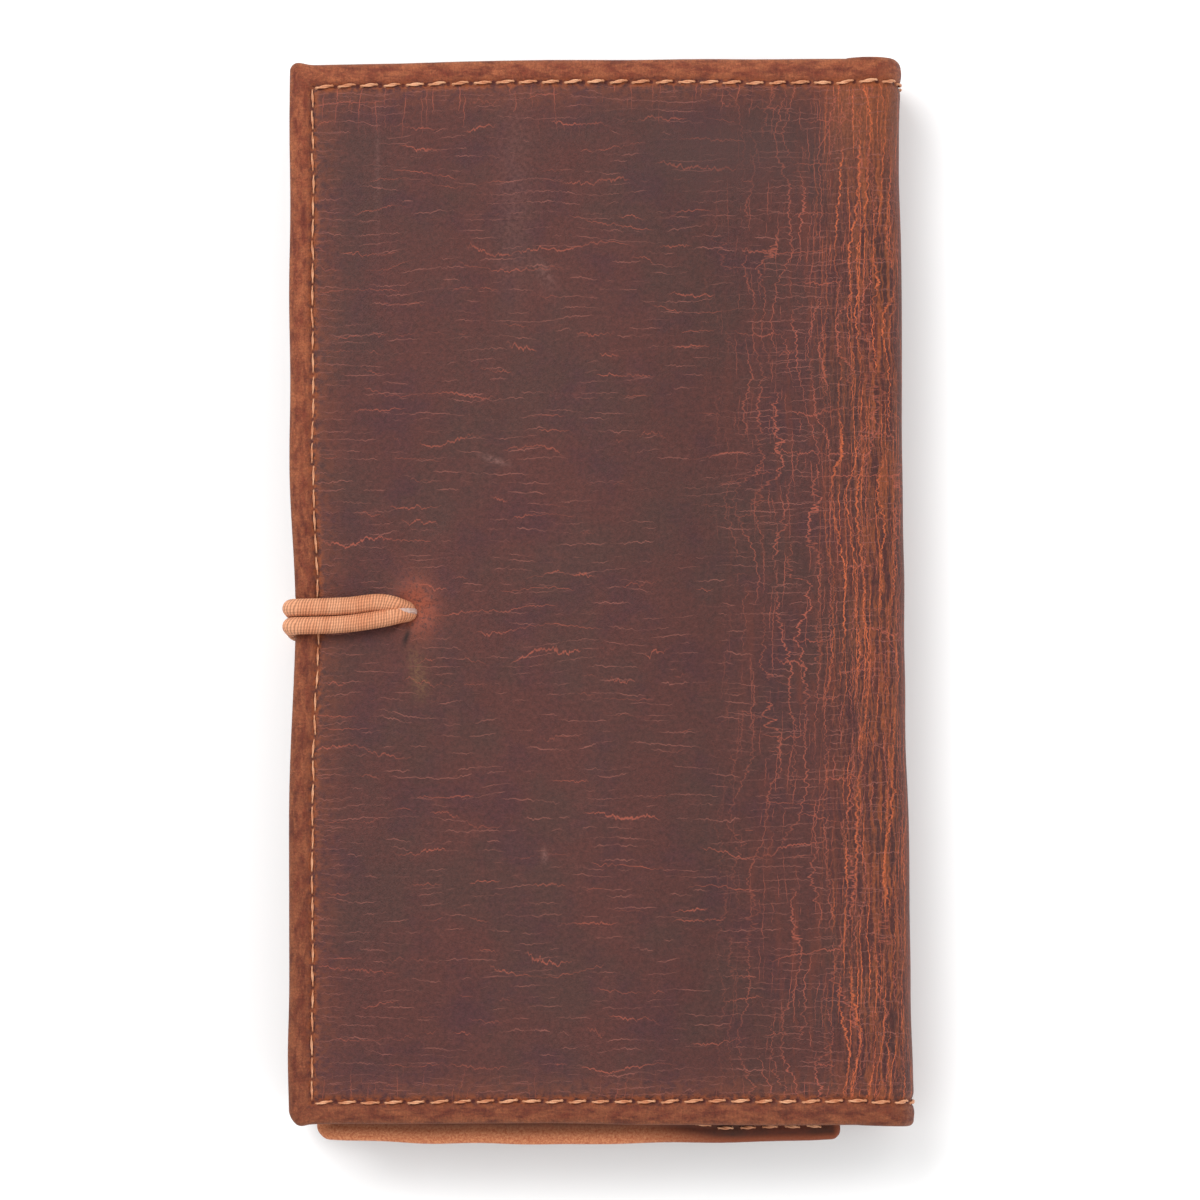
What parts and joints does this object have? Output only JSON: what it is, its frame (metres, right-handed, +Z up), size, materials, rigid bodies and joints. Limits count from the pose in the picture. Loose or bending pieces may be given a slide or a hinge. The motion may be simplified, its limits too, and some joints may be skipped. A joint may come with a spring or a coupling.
{
  "type": "leather notebook cover",
  "caption": "Closed book-style cover in distressed leather with turned stitched edges, a folding spine, a hinged inner card leaf, a notebook sleeve and an elastic loop that hooks over a stud.",
  "frame": {"origin": "middle of the closed cover's outline at the height of the surface it lies on, with the back cover up", "axes": "+X from the fore-edge to the spine, +Y from the bottom edge to the top edge, +Z up out of the back cover"},
  "size_m": [0.1176, 0.2036, 0.025],
  "materials": {
    "outer_leather": "waxed pull-up leather, dark red-brown, cracked and rubbed lighter along the edges and the spine",
    "lining_leather": "smooth matt brown leather",
    "stiffener_board": "grey-brown pressed paper board",
    "seam_thread": "waxed two-ply thread, pale tan",
    "elastic_cord": "woven cover over a rubber core, pale tan",
    "stud_metal": "brushed antique brass"
  },
  "bodies": {
    "front_cover": {"front_cover_leather": "outer_leather", "front_cover_board": "stiffener_board", "front_cover_lining": "lining_leather", "front_seam_thread": "seam_thread", "notebook_sleeve": "lining_leather", "stud_button": "stud_metal", "stud_washer": "stud_metal"},
    "spine_front": {"spine_leather_front": "outer_leather", "spine_lining_front": "lining_leather", "spine_thread_front": "seam_thread"},
    "spine_middle": {"spine_leather_middle": "outer_leather", "spine_lining_middle": "lining_leather", "spine_thread_middle": "seam_thread", "leaf_hinge_flange": "lining_leather"},
    "spine_back": {"spine_leather_back": "outer_leather", "spine_lining_back": "lining_leather", "spine_thread_back": "seam_thread"},
    "back_cover": {"back_cover_leather": "outer_leather", "back_cover_board": "stiffener_board", "back_cover_lining": "lining_leather", "back_seam_thread": "seam_thread", "slip_pocket": "lining_leather", "elastic_anchor_patch": "lining_leather", "elastic_back_run": "elastic_cord"},
    "inner_leaf": {"leaf_upper_leather": "outer_leather", "leaf_lower_leather": "outer_leather", "leaf_core_board": "stiffener_board", "leaf_seam_thread": "seam_thread", "card_pocket_upper": "lining_leather", "card_pocket_lower": "lining_leather", "leaf_hinge_strip": "lining_leather"},
    "elastic_side": {"elastic_side": "elastic_cord"},
    "elastic_loop": {"elastic_front_loop": "elastic_cord"}
  },
  "joints": [
    {"name": "front_fold", "type": "hinge", "parent": "front_cover", "child": "spine_front", "pos_m": [0.05113, 0.0018, 0.00205], "axis": [0, 1, 0], "range_deg": [0, 44]},
    {"name": "lower_spine_fold", "type": "hinge", "parent": "spine_front", "child": "spine_middle", "pos_m": [0.05642, 0.0018, 0.00692], "axis": [0, 1, 0], "range_deg": [0, 44]},
    {"name": "upper_spine_fold", "type": "hinge", "parent": "spine_middle", "child": "spine_back", "pos_m": [0.05662, 0.0018, 0.01412], "axis": [0, 1, 0], "range_deg": [0, 44]},
    {"name": "back_fold", "type": "hinge", "parent": "spine_back", "child": "back_cover", "pos_m": [0.0516, 0.0018, 0.01927], "axis": [0, 1, 0], "range_deg": [0, 44]},
    {"name": "leaf_turn", "type": "hinge", "parent": "spine_middle", "child": "inner_leaf", "pos_m": [0.0547, 0.0018, 0.0121], "axis": [0, -1, 0], "range_deg": [0, 76]},
    {"name": "elastic_side_swing", "type": "hinge", "parent": "back_cover", "child": "elastic_side", "pos_m": [-0.05646, 0.0018, 0.02256], "axis": [0, 1, 0], "range_deg": [0, 85], "deforming": ["elastic_side"]},
    {"name": "elastic_loop_swing", "type": "hinge", "parent": "elastic_side", "child": "elastic_loop", "pos_m": [-0.0565, 0.0018, 0.00455], "axis": [0, 1, 0], "range_deg": [0, 80], "deforming": ["elastic_front_loop"]}
  ],
  "couplings": [
    {"joint": "lower_spine_fold", "follows": "front_fold", "ratio": 1},
    {"joint": "upper_spine_fold", "follows": "front_fold", "ratio": 1},
    {"joint": "back_fold", "follows": "front_fold", "ratio": 1},
    {"joint": "leaf_turn", "follows": "front_fold", "ratio": 1.7273},
    {"joint": "elastic_side_swing", "follows": "front_fold", "ratio": 1.9318},
    {"joint": "elastic_loop_swing", "follows": "front_fold", "ratio": 1.8182}
  ]
}
